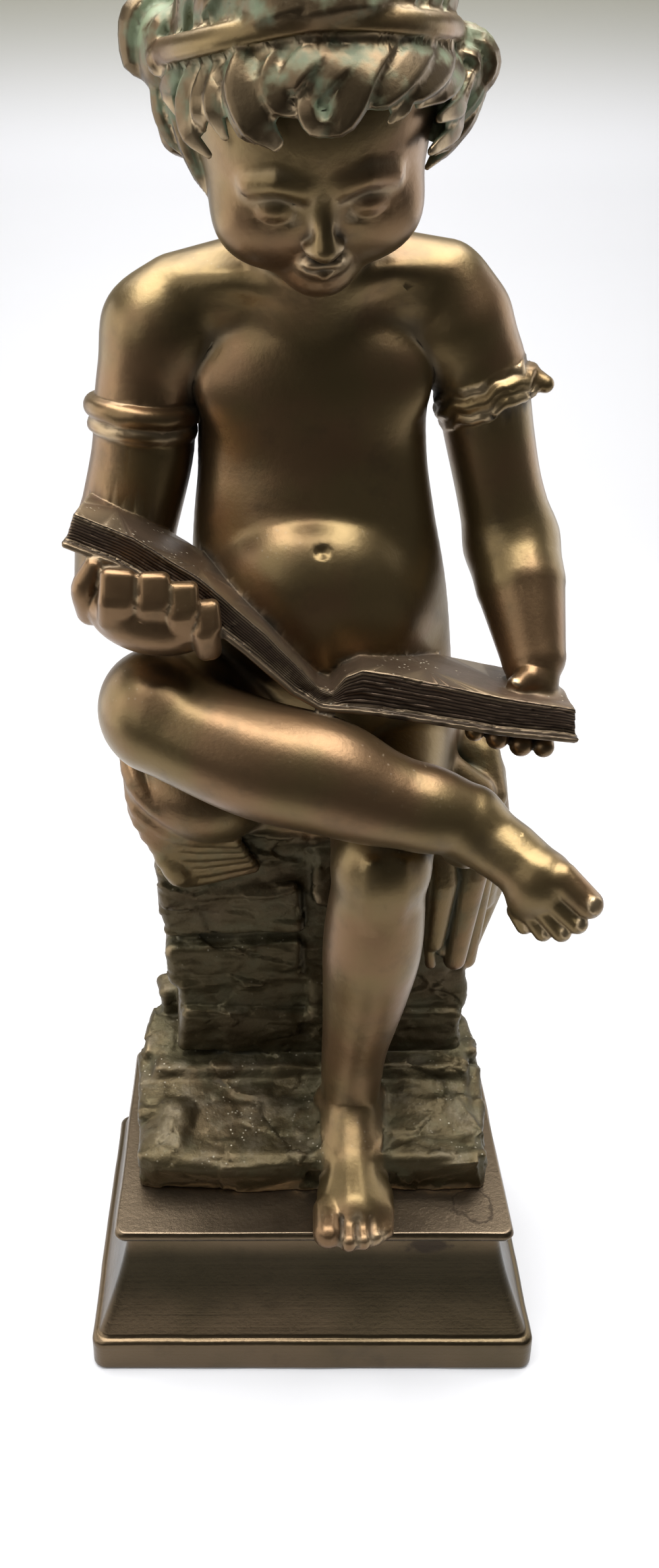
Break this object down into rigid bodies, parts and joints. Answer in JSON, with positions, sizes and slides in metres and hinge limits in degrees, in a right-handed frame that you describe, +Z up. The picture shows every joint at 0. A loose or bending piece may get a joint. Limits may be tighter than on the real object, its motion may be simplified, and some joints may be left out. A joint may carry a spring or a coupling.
{
  "type": "child statuette on plinth",
  "caption": "Statuette of a seated boy reading an open book on a draped rock, cast in dark bronze, on a moulded rectangular plinth.",
  "frame": {"origin": "centre of the plinth's underside", "axes": "+Z up, the boy faces -Y, +X to the right of someone facing the boy"},
  "size_m": [0.1379, 0.1083, 0.3824],
  "materials": {
    "bronze_patina": "satin brown bronze patina with green in the recesses",
    "bronze_plinth": "satin brown bronze patina"
  },
  "bodies": {
    "root": {"plinth": "bronze_plinth", "reading_boy": "bronze_patina"}
  },
  "joints": []
}
